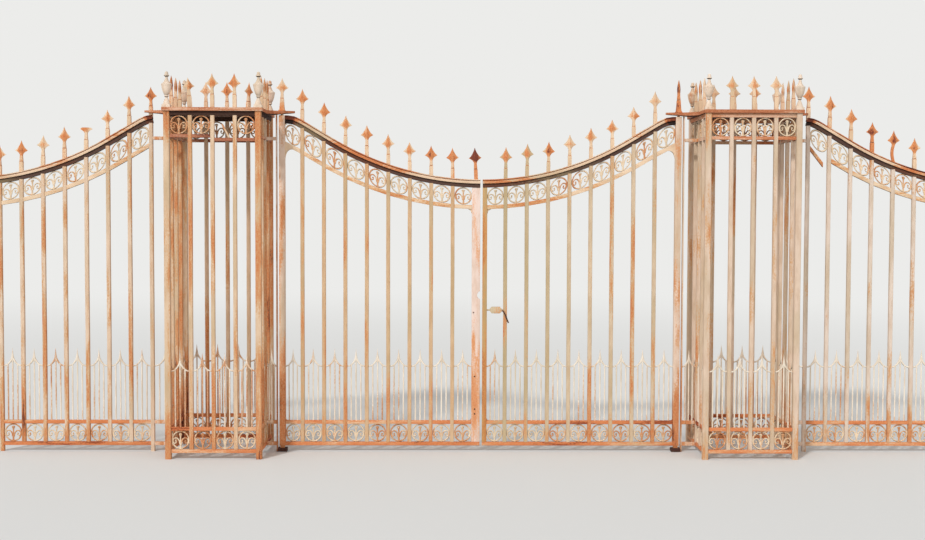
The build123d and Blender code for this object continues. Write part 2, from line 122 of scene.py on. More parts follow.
class Net:
    """A node tree being built, for a finish or for a set of repeated pieces."""

    def __init__(self, tree):
        self.tree = tree
        self.tree.nodes.clear()

    def node(self, kind, inputs=(), output=0, **settings):
        """New node with its settings and inputs, given as the value of one of its outputs."""
        made = self.tree.nodes.new(kind)
        for name, value in settings.items():
            setattr(made, name, value)
        pairs = inputs.items() if isinstance(inputs, dict) else enumerate(inputs)
        for key, value in pairs:
            if isinstance(value, Value):
                self.tree.links.new(value.socket, made.inputs[key])
            else:
                made.inputs[key].default_value = value
        return Value(self, made.outputs[output]) if made.outputs else made

    def vector(self, operation, *values):
        """Vector maths node on values or triples."""
        return self.node("ShaderNodeVectorMath", values, operation=operation)

    def ease(self, value, low, high):
        """0 below low, 1 above high, with a smooth change between."""
        return self.node("ShaderNodeMapRange", {"Value": value, "From Min": low, "From Max": high},
                         interpolation_type="SMOOTHSTEP")


def colour(red, green, blue):
    """Scene colour of a paint given as it looks, 0 to 255."""
    parts = []
    for part in (red, green, blue):
        part = part / 255
        parts.append(part / 12.92 if part <= 0.04045 else ((part + 0.055) / 1.055) ** 2.4)
    return (*parts, 1.0)


backdrop = colour(236, 236, 234)
ground_pale = colour(226, 226, 224)
sky_light = 0.56
ground_fade = (5.0, 24.0)

world = bpy.data.worlds.new("studio")
bpy.context.scene.world = world
world.use_nodes = True
sky = Net(world.node_tree)
seen = sky.node("ShaderNodeLightPath", output="Is Camera Ray")
shown = sky.node("ShaderNodeBackground", {"Color": backdrop, "Strength": 1.0})
lit = sky.node("ShaderNodeBackground", {"Color": (1.0, 1.0, 1.0, 1.0), "Strength": sky_light})
sky.node("ShaderNodeOutputWorld", [sky.node("ShaderNodeMixShader", [seen, lit, shown])])

ground_material = bpy.data.materials.new("ground")
ground_material.use_nodes = True
ground_net = Net(ground_material.node_tree)
spot = ground_net.node("ShaderNodeTexCoord", output="Object")
distance = ground_net.node("ShaderNodeVectorMath", [spot], "Value", operation="LENGTH")
far = ground_net.ease(distance, *ground_fade)
matt = ground_net.node("ShaderNodeBsdfDiffuse", {"Color": ground_pale})
glow = ground_net.node("ShaderNodeEmission", {"Color": backdrop, "Strength": 1.0})
ground_net.node("ShaderNodeOutputMaterial",
                [ground_net.node("ShaderNodeMixShader", [far, matt, glow])])

ground_reach = 90.0
ground_mesh = bpy.data.meshes.new("ground")
ground_mesh.from_pydata([(x, y, 0.0) for x, y in ((-1, -1), (1, -1), (1, 1), (-1, 1))], [],
                        [(0, 1, 2, 3)])
ground_mesh.transform(Matrix.Diagonal((ground_reach, ground_reach, 1.0, 1.0)))
ground_mesh.materials.append(ground_material)
ground = linked("ground", ground_mesh)
ground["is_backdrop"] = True


def lamp(name, strength, softness, towards):
    """Distant lamp that shines along a direction."""
    light = bpy.data.lights.new(name, "SUN")
    light.energy = strength
    light.angle = math.radians(softness)
    linked(name, light).rotation_euler = Vector(towards).to_track_quat("-Z", "Y").to_euler()


lamp("key", 1.85, 6.0, (0.42, 0.75, -0.62))
lamp("fill", 0.25, 40.0, (-0.7, 0.6, -0.3))

# Square bars and posts
# Wrought bars of square section, from the bottom rail to the rail under the cap, with posts
# at the pier corners. They were painted a pale cream that has chalked, and rust breaks
# through it from the ground up and runs down in streaks.


lichen = colour(176, 156, 114)
lichen_start = (1.80, 1.86)  # along X, where it thickens
lichen_end = (1.95, 2.75)    # where it thins out
grimy = colour(126, 116, 84)
# darkest brown: of deep rust pits, and of the painted shade under things
pit_and_shade_brown = (46, 33, 28)


def painted(name, paint, stain, rust, deep, wear, grime=0.0, foot=(0.14, 0.1, 1.1), shade=None,
            level=False, growth=1.0):
    """Chalky paint that has stained and flaked over rusty iron, in colours as they look.

    wear moves the balance from paint to rust. A piece's own rust layer, which holds painted
    shade on some pieces, adds to it, and so does the damp near the ground: foot gives how
    much, and the heights between which it fades. Painted shade darkens the faces that look
    down, and all that lies between the two heights of shade, where an overhang casts its
    shadow. growth is the share of lichen, which is thickest on the right leaf next to the
    gates' middle. The marks run down an upright piece and along a level one.
    """
    paint, stain, rust, deep = (colour(*look) for look in (paint, stain, rust, deep))
    material = bpy.data.materials.new(name)
    material.use_nodes = True
    net = Net(material.node_tree)
    place = net.node("ShaderNodeTexCoord", output="Object")
    own = net.node("ShaderNodeAttribute", output="Fac", attribute_name="rusting")
    bare = net.node("ShaderNodeAttribute", output="Fac", attribute_name="bare")
    height = net.node("ShaderNodeSeparateXYZ", [place], "Z")
    across = net.node("ShaderNodeSeparateXYZ", [place], "X")
    facing = net.node("ShaderNodeNewGeometry", output="Normal")
    downward = net.node("ShaderNodeSeparateXYZ", [facing], "Z") * -1.0

    def noise(scale, detail, roughness, squeeze):
        stretch = (squeeze, squeeze, 1.0) if level else (1.0, 1.0, squeeze)
        at = net.vector("MULTIPLY", place, stretch)
        return net.node("ShaderNodeTexNoise", {
            "Vector": at, "Scale": scale, "Detail": detail, "Roughness": roughness})

    def mix(factor, first, second):
        return net.node("ShaderNodeMix", {0: factor, 6: first, 7: second}, 2, data_type="RGBA")

    stretches = noise(6.0, 2.0, 0.5, 0.22)
    drips = noise(38.0, 4.0, 0.6, 0.11)
    flakes = noise(120.0, 6.0, 0.7, 0.5)
    grain = noise(600.0, 4.0, 0.7, 1.0)
    damp = (1.0 - net.ease(height, foot[1], foot[2])) * foot[0]
    decay = stretches * 1.15 + drips * 0.6 + flakes * 0.6 + own + bare + damp + (wear - 1.175)
    stained = net.ease(decay, -0.04, 0.09)
    rusted = net.ease(decay, 0.075, 0.115)
    pitted = net.ease(decay + (grain - 0.5) * 0.35, 0.30, 0.42)
    chalk = mix(net.ease(noise(24.0, 5.0, 0.6, 0.3), 0.35, 0.7), paint,
                (*(part * dim for part, dim in zip(paint[:3], (0.86, 0.80, 0.74))), 1.0))
    dulled = mix(net.ease(noise(9.0, 3.0, 0.6, 0.5), 0.45, 0.75) * grime, chalk, grimy)
    tinge = net.ease(noise(3.1, 2.0, 0.5, 0.35), 0.48, 0.60)
    dulled = mix(tinge * (0.32 * growth), dulled, lichen)
    mossy = net.ease(across, *lichen_start) * (1.0 - net.ease(across, *lichen_end))
    dulled = mix(mossy * (0.6 * growth), dulled, lichen)
    layer = mix(stained * 0.85, dulled, stain)
    oxide = mix(net.ease(flakes + grain * 0.4, 0.55, 0.85), rust, stain)
    layer = mix(rusted, layer, oxide)
    layer = mix(pitted, layer, deep)
    # painted shade: faces that look down, and the band between the heights of shade, are darkened
    # towards the darkest brown
    painted_shade_mask = net.ease(downward, 0.3, 0.8) * 0.85
    if shade:
        band = net.ease(height, shade[0], shade[0] + 0.006) - net.ease(
            height, shade[1], shade[1] + 0.006)
        painted_shade_mask = painted_shade_mask.work("MAXIMUM", painted_shade_mask, band * 0.92)
    layer = mix(painted_shade_mask, layer, colour(*pit_and_shade_brown))
    relief = (1.0 - rusted) * 0.6 + flakes * 0.5 + grain * rusted * 0.8
    surface = net.node("ShaderNodeBump", {
        "Strength": 0.55, "Distance": 0.0016, "Height": relief}, "Normal")
    shader = net.node("ShaderNodeBsdfPrincipled", {
        "Base Color": layer, "Roughness": 0.72 + rusted * 0.18, "Normal": surface,
        "Specular IOR Level": 0.3})
    net.node("ShaderNodeOutputMaterial", [shader])
    return material


tan = (208, 160, 114)
orange = (198, 110, 60)
brown = (110, 56, 38)
# paint of each group's bars; the left leaf's and left wing's are darker partly with painted shade
paint_and_shade_of = {"left_leaf": (211, 178, 141), "right_leaf": (214, 191, 162),
            "left_wing": (224, 198, 172), "right_wing": (224, 206, 190),
            "left_pier": (222, 194, 164), "right_pier": (222, 198, 176)}
bar_paints = {group: painted(f"{group}_bar_paint", paint, tan, orange, brown, -0.05)
              for group, paint in paint_and_shade_of.items()}

bodies = {"left_leaf": "left_leaf", "right_leaf": "right_leaf", "left_wing": "root",
          "right_wing": "root", "left_pier": "root", "right_pier": "root"}


def welded(mesh):
    """A bmesh of a CAD mesh, with the points of its faces joined."""
    bm = bmesh.new()
    bm.from_mesh(mesh)
    bmesh.ops.remove_doubles(bm, verts=bm.verts, dist=0.00002)
    return bm


def islands(bm):
    """Lists of the points that hang together."""
    seen = set()
    found = []
    for start in bm.verts:
        if start in seen:
            continue
        seen.add(start)
        island = [start]
        for vertex in island:
            for link in vertex.link_edges:
                other = link.other_vert(vertex)
                if other not in seen:
                    seen.add(other)
                    island.append(other)
        found.append(island)
    return found


def solids(node):
    """Lowest and highest corner of each separate solid in a CAD node, by X and then Y."""
    bm = welded(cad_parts[node].data)
    boxes = []
    for island in islands(bm):
        sides = list(zip(*((round(part, 4) for part in vertex.co) for vertex in island)))
        boxes.append((Vector(map(min, sides)), Vector(map(max, sides))))
    bm.free()
    return sorted(boxes, key=lambda box: (round(box[0].x, 3), round(box[0].y, 3)))


def bay_of(low, high):
    """Middle of a box, its width along its own panel, and its turn about Z."""
    turned = high.y - low.y > high.x - low.x
    return (low + high) / 2, max(high.x - low.x, high.y - low.y), math.pi / 2 if turned else 0.0


def new_tree(name, inputs):
    """Geometry tree with the named inputs and one output: its net, and its inputs as values."""
    tree = bpy.data.node_groups.new(name, "GeometryNodeTree")
    for label, kind in inputs.items():
        tree.interface.new_socket(label, in_out="INPUT", socket_type=f"NodeSocket{kind}")
    tree.interface.new_socket("Made", in_out="OUTPUT", socket_type="NodeSocketGeometry")
    net = Net(tree)
    sockets = net.node("NodeGroupInput").socket.node.outputs
    return net, [Value(net, socket) for socket in sockets[:len(inputs)]]


wander_rate = (7.0, 7.0, 1.4)    # slow along the height, so that a bar wanders without ripples


def seated_pieces():
    """Tree that sets a piece on each seat point at its size, turn, rust and shade, and slope."""
    net, (seats, piece, lean, wander, finish) = new_tree("seated_pieces", {
        "Seats": "Geometry", "Piece": "Object", "Lean": "Float", "Wander": "Float",
        "Finish": "Material"})

    def own(name, kind):
        return net.node("GeometryNodeInputNamedAttribute", {"Name": name}, data_type=kind)

    tilt = net.node("FunctionNodeRandomValue", {
        "Min": (-1.0, -1.0, -1.0), "Max": (1.0, 1.0, 1.0), "Seed": 11}, data_type="FLOAT_VECTOR")
    tilt = net.node("ShaderNodeVectorMath", {0: tilt, "Scale": lean}, operation="SCALE")
    turn = net.vector("ADD", own("turn", "FLOAT_VECTOR"), tilt)
    shape = net.node("GeometryNodeObjectInfo", [piece], "Geometry")
    placed = net.node("GeometryNodeInstanceOnPoints", {
        "Points": seats, "Instance": shape, "Rotation": turn,
        "Scale": own("size", "FLOAT_VECTOR")})
    whole = net.node("GeometryNodeRealizeInstances", [placed])
    place = net.node("GeometryNodeInputPosition")
    slow = net.vector("MULTIPLY", place, wander_rate)
    drift = net.node("ShaderNodeTexNoise", {"Vector": slow, "Scale": 1.0, "Detail": 1.0}, "Color")
    drift = net.vector("SUBTRACT", drift, (0.5, 0.5, 0.5))
    drift = net.vector("MULTIPLY", drift, (1.0, 1.0, 0.0))
    drift = net.node("ShaderNodeVectorMath", {0: drift, "Scale": wander}, operation="SCALE")
    reach = net.node("ShaderNodeSeparateXYZ", [place], "X") - own("middle", "FLOAT")
    rise = net.node("ShaderNodeCombineXYZ", {"Z": reach * own("slope", "FLOAT")})
    shift = net.vector("ADD", drift, rise)
    bent = net.node("GeometryNodeSetPosition", {"Geometry": whole, "Offset": shift})
    done = net.node("GeometryNodeSetMaterial", {"Geometry": bent, "Material": finish})
    net.node("NodeGroupOutput", [done])
    return net.tree


seating = seated_pieces()


def attach(obj, body, node=None):
    """Gives a piece its body, and hides the CAD node whose place it takes, if any."""
    if node:
        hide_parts(node)
    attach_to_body(obj, body)


def smoothed(mesh):
    """Shades a mesh smooth except at its arrises."""
    mesh.shade_smooth()
    mesh.set_sharp_from_angle(angle=math.radians(32))


def add_layer(mesh, name, values, kind="FLOAT"):
    """Gives each point of a mesh its value in a named layer."""
    layer = mesh.attributes.new(name, kind, "POINT")
    layer.data.foreach_set("value" if kind == "FLOAT" else "vector", values)


def made_mesh(obj, modifier_inputs, tree):
    """Runs a tree on an object and keeps what it makes as the object's own plain mesh."""
    modifier = obj.modifiers.new("maker", "NODES")
    modifier.node_group = tree
    for item in tree.interface.items_tree:
        if item.in_out == "INPUT" and item.name in modifier_inputs:
            modifier[item.identifier] = modifier_inputs[item.name]
    graph = bpy.context.evaluated_depsgraph_get()
    mesh = bpy.data.meshes.new_from_object(obj.evaluated_get(graph), preserve_all_data_layers=True,
                                           depsgraph=graph)
    obj.modifiers.clear()
    obj.data = mesh
    mesh.name = obj.name
    smoothed(mesh)


def seated(name, piece, seats, finish, body, node=None, lean=0.0,
           wander=0.0):
    """One object with a piece on each seat: (place, size, turn, rust and shade), maybe a slope."""
    mesh = bpy.data.meshes.new(name)
    mesh.from_pydata([seat[0] for seat in seats], [], [])
    add_layer(mesh, "size", [part for seat in seats for part in seat[1]], "FLOAT_VECTOR")
    add_layer(mesh, "turn", [part for seat in seats for part in seat[2]], "FLOAT_VECTOR")
    add_layer(mesh, "rusting", [seat[3] for seat in seats])
    add_layer(mesh, "middle", [seat[0][0] for seat in seats])
    add_layer(mesh, "slope", [seat[4] if len(seat) > 4 else 0.0 for seat in seats])
    obj = linked(name, mesh)
    made_mesh(obj, {"Piece": piece, "Lean": lean, "Wander": wander, "Finish": finish}, seating)
    attach(obj, body, node)


def mesh_of(name, bm):
    """Mesh of a bmesh, with its faces turned outwards."""
    bmesh.ops.recalc_face_normals(bm, faces=bm.faces)
    mesh = bpy.data.meshes.new(name)
    bm.to_mesh(mesh)
    bm.free()
    return mesh


def pattern_piece(name, bm):
    """Keeps a bmesh as the hidden pattern that a set of seats repeats."""
    return bpy.data.objects.new(name, mesh_of(name, bm))


def skin(bm, outlines, closed=False):
    """Faces between loops of places, with both ends filled unless the loops close up."""
    loops = [[bm.verts.new(place) for place in outline] for outline in outlines]
    size = len(loops[0])
    pairs = list(zip(loops, loops[1:])) + ([(loops[-1], loops[0])] if closed else [])
    for first, second in pairs:
        for k in range(size):
            bm.faces.new((first[k], first[(k + 1) % size], second[(k + 1) % size], second[k]))
    if not closed:
        bm.faces.new(loops[0])
        bm.faces.new(loops[-1])
    return loops


def strip(bm, path, section, scales=None, closed=False):
    """Sweeps a section of (sideways, depth) pairs along a path of (x, z) pairs.

    The section stays square to the path, and its depth is along Y.
    """
    count = len(path)
    loops = []
    for k, (x, z) in enumerate(path):
        before = path[k - 1] if k or closed else path[0]
        after = path[(k + 1) % count] if k < count - 1 or closed else path[-1]
        along = Vector((after[0] - before[0], after[1] - before[1])).normalized()
        side = Vector((-along.y, along.x))
        scale = scales[k] if scales else 1.0
        loops.append([(x + side.x * s * scale, d * scale, z + side.y * s * scale)
                      for s, d in section])
    skin(bm, loops, closed)


def chamfered(width, depth, corner):
    """Corners of a rectangle with its corners cut off."""
    w, d = width / 2, depth / 2
    return [(w, d - corner), (w - corner, d), (corner - w, d), (-w, d - corner),
            (-w, corner - d), (corner - w, -d), (w - corner, -d), (w, corner - d)]


worn_corner = 0.09           # share of a bar's width


def straight(x, height, steps):
    """Path that goes straight up."""
    return [(x, height * k / steps) for k in range(steps + 1)]


def bar_piece(name, width):
    """Bar a metre high on its seat, stretched by each seat's size."""
    bm = bmesh.new()
    strip(bm, straight(0.0, 1.0, 22), chamfered(width, width, width * worn_corner))
    return pattern_piece(name, bm)


bar_pattern = bar_piece("bar_pattern", 0.032)
post_pattern = bar_piece("post_pattern", 0.048)
zero = (0.0, 0.0, 0.0)
bar_rust = [0.02, -0.08, 0.04, -0.03, 0.07, -0.05, 0.00, 0.05, -0.09, 0.03, -0.02, 0.06]
# rust of each group's bars; the left pier's and left wing's is raised partly as painted shade
group_rust_with_shade = {"left_leaf": -0.01, "right_leaf": -0.04, "left_wing": 0.03, "right_wing": -0.06,
              "left_pier": 0.09, "right_pier": -0.06}


def uneven(k, share=1.0):
    """Rusting of a piece by its number, so that neighbours differ."""
    return bar_rust[k % len(bar_rust)] * share


for group, body in bodies.items():
    kinds = [("bars", bar_pattern, 0.004)]
    if group.endswith("pier"):
        kinds.append(("posts", post_pattern, 0.002))
    for kind, pattern, wander in kinds:
        seats = []
        for k, (low, high) in enumerate(solids(f"{group}_{kind}")):
            middle = (low + high) / 2
            seats.append(((middle.x, middle.y, low.z), (1.0, 1.0, high.z - low.z), zero,
                          group_rust_with_shade[group] + uneven(k * 5 + len(group))))
        seated(f"{group}_square_{kind}", pattern, seats, bar_paints[group], body,
               node=f"{group}_{kind}", wander=wander)

# Stiles and straight rails
# Flat and square bars riveted between the uprights: bottom rails, the rails over the base
# band, the pier's upper rails, and the stiles that the leaves hang from and meet at. Their
# arrises are worn round, and water that lies on them has rusted the rails most.
rail_paint = painted("rail_paint", (230, 200, 170), (212, 142, 92), (190, 98, 54), brown, 0.08,
                     level=True)
floor_rail_paint = painted("floor_rail_paint", (230, 190, 152), (218, 144, 96), (206, 116, 68),
                           (150, 74, 44), 0.05, level=True)
frieze_rail_paint = painted("frieze_rail_paint", (236, 208, 177), (214, 160, 108), (194, 106, 62),
                            brown, 0.0, level=True, growth=0.5)
# painted shadow: the left pier's rails are darkened between the heights of shade, under the cap
# plate
left_pier_rail_paint = painted("left_pier_rail_paint", (212, 178, 156), (186, 128, 98),
                               (158, 88, 62), (92, 52, 42), 0.06, shade=(2.785, 2.83), level=True)
right_pier_rail_paint = painted("right_pier_rail_paint", (226, 184, 156), (206, 138, 96),
                                (176, 98, 62), brown, 0.05, level=True)
plate_paint = painted("plate_paint", (222, 180, 152), (196, 130, 92), (160, 86, 52), (92, 50, 38),
                      0.06, level=True)
stile_paint = painted("stile_paint", (233, 208, 188), (216, 158, 112), orange, brown, -0.04,
                      foot=(0.2, 0.3, 1.3))
left_closing_paint = painted(
    "left_closing_paint", (236, 213, 200), (226, 164, 118), (208, 128, 78), (140, 74, 46), -0.12,
    foot=(0.17, 0.90, 1.06), growth=0.3)
right_closing_paint = painted("right_closing_paint", (206, 160, 104), (204, 146, 88),
                              (184, 112, 62), brown, -0.02)


gate_middle = (1.805, 0.3685)
pier_offset = 2.19           # from the gate's middle to about a pier's middle
plate_reach = 0.45           # from there to where the ears of its cap plate begin
ear_length = 0.2
plate_top = 2.853
ear_taper = 0.45             # share of its depth and height that an ear loses to its end
left_ear = (-0.8, 0.25)      # where the wing's ear begins, and the share of it that is gone
right_ear = (4.4, 0.5)
sag = 0.028
sagging_bays = (-0.36, -0.02)    # along X
snapped_end = 4.568          # where the rail hangs on by the right pier
snapped_bay = 0.16
snapped_loss = 0.25          # share of its length
snapped_fall = 0.36          # per metre along it
short_bars = (0.262, 0.867)  # foot and top of the short bars, which have their own section


def sagging(spot):
    """Drop of the broken end of the left pier's front rail."""
    at_front = spot.y < 0.1
    lower_rail = spot.z < 2.7
    broken = sagging_bays[0] < spot.x < sagging_bays[1] and at_front and lower_rail
    return Vector((0.0, 0.0, -sag if broken else 0.0))


def snapped(spot):
    """Turn and shrinking of the right wing's lower frieze rail where it snapped by the pier."""
    near = spot.x - snapped_end
    lower_rail = spot.z < 2.6
    broken = -0.01 < near < snapped_bay and lower_rail
    return Vector((-snapped_loss * near, 0.0, -snapped_fall * near) if broken else zero)


def beyond_plate(x):
    """How far a place is past the middle part of the nearest pier's cap plate."""
    return abs(abs(x - gate_middle[0]) - pier_offset) - plate_reach


def tapered_ears(spot):
    """The ears of a cap plate run out thin, and the wings' side ones are broken short."""
    beyond = beyond_plate(spot.x)
    out = max(0.0, min(1.0, beyond / ear_length))
    short = 0.0
    if spot.x > right_ear[0]:
        short = -right_ear[1]
    elif spot.x < left_ear[0]:
        short = left_ear[1]
    return Vector((short * max(0.0, beyond), (gate_middle[1] - spot.y) * ear_taper * out,
                   (plate_top - spot.z) * ear_taper * out))


def dressed(mesh, finish, body, rusting=0.0, node=None):
    """Object of its own from a mesh that stands in its place, maybe for a CAD node."""
    mesh.materials.clear()
    mesh.materials.append(finish)
    add_layer(mesh, "rusting", [rusting] * len(mesh.vertices))
    smoothed(mesh)
    attach(linked(mesh.name, mesh), body, node)


def refined(node, name, finish, body, rusting=0.0, edge=0.002,
            without=None, shift=None):
    """Copy of a CAD node with its arrises rounded, in place of the node.

    without is the foot and top of solids that are left out of it, and shift moves its points.
    """
    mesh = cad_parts[node].data.copy()
    mesh.name = name
    bm = welded(mesh)
    if without:
        for island in islands(bm):
            heights = [round(vertex.co.z, 3) for vertex in island]
            if (min(heights), max(heights)) == without:
                bmesh.ops.delete(bm, geom=island, context="VERTS")
    bmesh.ops.dissolve_limit(bm, angle_limit=math.radians(1.0), verts=bm.verts, edges=bm.edges)
    sharp = [item for item in bm.edges
             if len(item.link_faces) == 2 and item.calc_face_angle() > math.radians(40)]
    bmesh.ops.bevel(bm, geom=sharp, offset=edge, segments=2, profile=0.6, affect="EDGES",
                    clamp_overlap=True)
    if shift:
        for vertex in bm.verts:
            vertex.co += shift(vertex.co)
    bm.to_mesh(mesh)
    bm.free()
    dressed(mesh, finish, body, rusting, node)


for group, body in bodies.items():
    refined(f"{group}_base_rails", f"{group}_lower_rails", floor_rail_paint, body)
for side, closing, pier_rail, rail_rust, plate_rust in (
        ("left", left_closing_paint, left_pier_rail_paint, 0.12, 0.02),
        ("right", right_closing_paint, right_pier_rail_paint, 0.0, 0.10)):
    leaf, pier, wing = f"{side}_leaf", f"{side}_pier", f"{side}_wing"
    refined(f"{pier}_frieze_rails", f"{pier}_upper_rails", pier_rail, "root", rusting=rail_rust,
            shift=sagging)
    refined(f"{leaf}_hanging_stile", f"{leaf}_hinge_stile", stile_paint, leaf)
    refined(f"{leaf}_meeting_stile", f"{leaf}_closing_stile", closing, leaf)
    refined(f"{leaf}_frieze_rail", f"{leaf}_swept_rail", frieze_rail_paint, leaf)
    refined(f"{wing}_frieze_rail", f"{wing}_swept_rail", frieze_rail_paint, "root", shift=snapped)
    refined(f"{pier}_cap_plate", f"{pier}_capping", plate_paint, "root", rusting=plate_rust,
            edge=0.005, shift=tapered_ears)
    for bay in ("jamb", "link"):
        refined(f"{side}_{bay}_bay", f"{side}_{bay}_rails", stile_paint, "root",
                without=short_bars)

# Rivets of the closing stile
# Four plain rivets or bolts, coloured dark, show on the face of the left closing stile: one by
# its hollow and three below the short bars.
rivet_finish = painted("rivet_finish", (96, 58, 42), (88, 50, 38), (84, 46, 34), pit_and_shade_brown, 0.2)


def oval(half_side, half_depth, sides=6):
    """Points around an oval, such as the section of a rod."""
    return [(half_side * math.cos(2 * math.pi * k / sides),
             half_depth * math.sin(2 * math.pi * k / sides)) for k in range(sides)]


def revolve(bm, profile, turns):
    """Solid turned about Z from (radius, height) pairs."""
    skin(bm, [[(x, y, z) for x, y in oval(r, r, turns)] for r, z in profile])


rivet_spots = [(1.751, 1.174), (1.762, 0.635), (1.763, 0.358), (1.763, 0.318)]
bm = bmesh.new()
revolve(bm, ((0.0065, -0.003), (0.0065, 0.0008), (0.0052, 0.0022), (0.0028, 0.0030)), 12)
face_of_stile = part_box("left_leaf_meeting_stile")[0].y
seated("closing_rivets", pattern_piece("rivet", bm), [
    ((x, face_of_stile, z), (1.0, 1.0, 1.0), (math.pi / 2, 0.0, 0.0), 0.0)
    for x, z in rivet_spots], rivet_finish, "left_leaf")

# Swept cap and rail under it
# A heavy moulded cap lies along the top of each leaf and wing on a square rail. The rail and
# the narrow web that joins it to the cap are painted dark, for grime and for the shadow of the
# cap, and the groove along the cap's face holds painted shade. Both are bent to one sweep that
# rises to the piers and levels off under the ears of the pier caps.
sweep_low = 2.252
sweep_radius = 2.445
sweep_turn = math.radians(30.6)
level_height = 2.780
ease_reach = 0.05
eased_from = 1.2
ear_start = 1.54             # from where a pier's ear covers the cap
# painted shadow of a pier's ear on the cap under it, added to the cap's rust
ear_shadow_darkening = 0.5
meeting_reach = 0.55         # length of the rusty end of the right leaf's cap
meeting_wear = 0.26
sweeps = {"left_leaf": (-1, 0.0), "right_leaf": (1, 0.0), "left_wing": (1, -4.339),
          "right_wing": (-1, 4.339)}
cap_rust = {"left_leaf": 0.06, "right_leaf": 0.0, "left_wing": 0.0, "right_wing": -0.02}
# painted dark for grime and for the cap's shadow on the rail
shaded_under_finish = painted("under_rail_paint", (84, 60, 50), (92, 60, 46), (104, 58, 40), pit_and_shade_brown, 0.02,
                       level=True)


def sweep_height(reach, offset=0.0):
    """Height of a line of the sweep at a distance from its low end.

    offset is how far the line lies above the joint between cap and rail.
    """
    radius = sweep_radius - offset
    centre = sweep_low + sweep_radius
    turn = radius * math.sin(sweep_turn)
    if reach < turn:
        height = centre - math.sqrt(radius ** 2 - reach ** 2)
    else:
        height = centre - radius * math.cos(sweep_turn) + (reach - turn) * math.tan(sweep_turn)
    return min(height, level_height + offset)


def reach_on(group, x):
    """Distance along a swept panel from its low end."""
    way, low_end = sweeps[group]
    return way * (x - gate_middle[0] - low_end)


def eased_height(reach):
    """Height of the joint between cap and rail, with the turn to the level rounded off."""
    near, far = sweep_height(reach - ease_reach), sweep_height(reach + ease_reach)
    middle = sweep_height(reach)
    return min(middle, (near + 2 * middle + far) / 4) if reach > eased_from else middle


def cap_wear_and_shadow(group, reach):
    """Rust of a cap, most where the right leaf meets the left, darkened with painted shadow under
    the pier's ear.
    """
    shadowed_by_ear = max(0.0, min(1.0, (reach - ear_start) / 0.03))
    meeting = max(0.0, 1.0 - reach / meeting_reach) if group == "right_leaf" else 0.0
    return cap_rust[group] + ear_shadow_darkening * shadowed_by_ear + meeting_wear * meeting


def section_piece(name, half):
    """Closed section of a rail, from (depth, height, bareness and painted shade) up its one side.
    """
    outline = half + [(-depth, height, bare) for depth, height, bare in half[::-1]]
    mesh = bpy.data.meshes.new(name)
    count = len(outline)
    mesh.from_pydata([(-depth, -height, 0.0) for depth, height, _ in outline],
                     [(k, (k + 1) % count) for k in range(count)], [])
    add_layer(mesh, "bare", [bare for _, _, bare in outline])
    return bpy.data.objects.new(name, mesh)


def swept_rails():
    """Tree that carries a section along a path of edges."""
    net, (path, section, finish) = new_tree("swept_rails", {
        "Path": "Geometry", "Section": "Object", "Finish": "Material"})
    line = net.node("GeometryNodeMeshToCurve", [path])
    line = net.node("GeometryNodeSetCurveNormal", [line], mode="Z_UP")
    shape = net.node("GeometryNodeObjectInfo", [section], "Geometry")
    shape = net.node("GeometryNodeMeshToCurve", [shape])
    rail = net.node("GeometryNodeCurveToMesh", {
        "Curve": line, "Profile Curve": shape, "Fill Caps": True})
    whole = net.node("GeometryNodeRealizeInstances", [rail])
    done = net.node("GeometryNodeSetMaterial", {"Geometry": whole, "Material": finish})
    net.node("NodeGroupOutput", [done])
    return net.tree


sweeping = swept_rails()
# the cap's section: the 0.6 along the groove in its face is painted shade
cap_sections = [section_piece(f"cap_section_{k}", [
    (0.0180, 0.0030, 0.10), (0.0240, 0.0040, 0.0), (0.0250, 0.0080, -0.07),
    (0.0250, 0.0215, -0.07), (0.0240, 0.0240, 0.0), (0.0200, 0.0250, 0.6),
    (0.0200, 0.0290, 0.6), (0.0232, 0.0300, worn), (0.0235, 0.0350, worn),
    (0.0190, 0.0378, worn)]) for k, worn in enumerate((0.02, 0.30))]
under_section = section_piece("under_section", [
    (0.0135, -0.0300, 0.0), (0.0150, -0.0285, 0.0), (0.0150, -0.0075, 0.0),
    (0.0135, -0.0060, 0.0), (0.0080, -0.0060, 0.0), (0.0080, 0.0060, 0.0)])
for group, (way, low_end) in sweeps.items():
    ends = [reach_on(group, corner.x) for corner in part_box(f"{group}_top_rail")]
    steps = 72
    reaches = [min(ends) + (max(ends) - min(ends)) * k / steps for k in range(steps + 1)]
    reaches = reaches[::way]
    points = [(gate_middle[0] + low_end + way * reach, gate_middle[1], eased_height(reach))
              for reach in reaches]
    for part, section, finish in (("cap", cap_sections[group == "right_wing"], rail_paint),
                                  ("under_rail", under_section, shaded_under_finish)):
        mesh = bpy.data.meshes.new(f"{group}_{part}")
        mesh.from_pydata(points, [(k, k + 1) for k in range(steps)], [])
        add_layer(mesh, "rusting", [cap_wear_and_shadow(group, reach) for reach in reaches])
        rail = linked(f"{group}_{part}", mesh)
        made_mesh(rail, {"Section": section, "Finish": finish}, sweeping)
        attach(rail, bodies[group], node=f"{group}_top_rail" if part == "cap" else None)

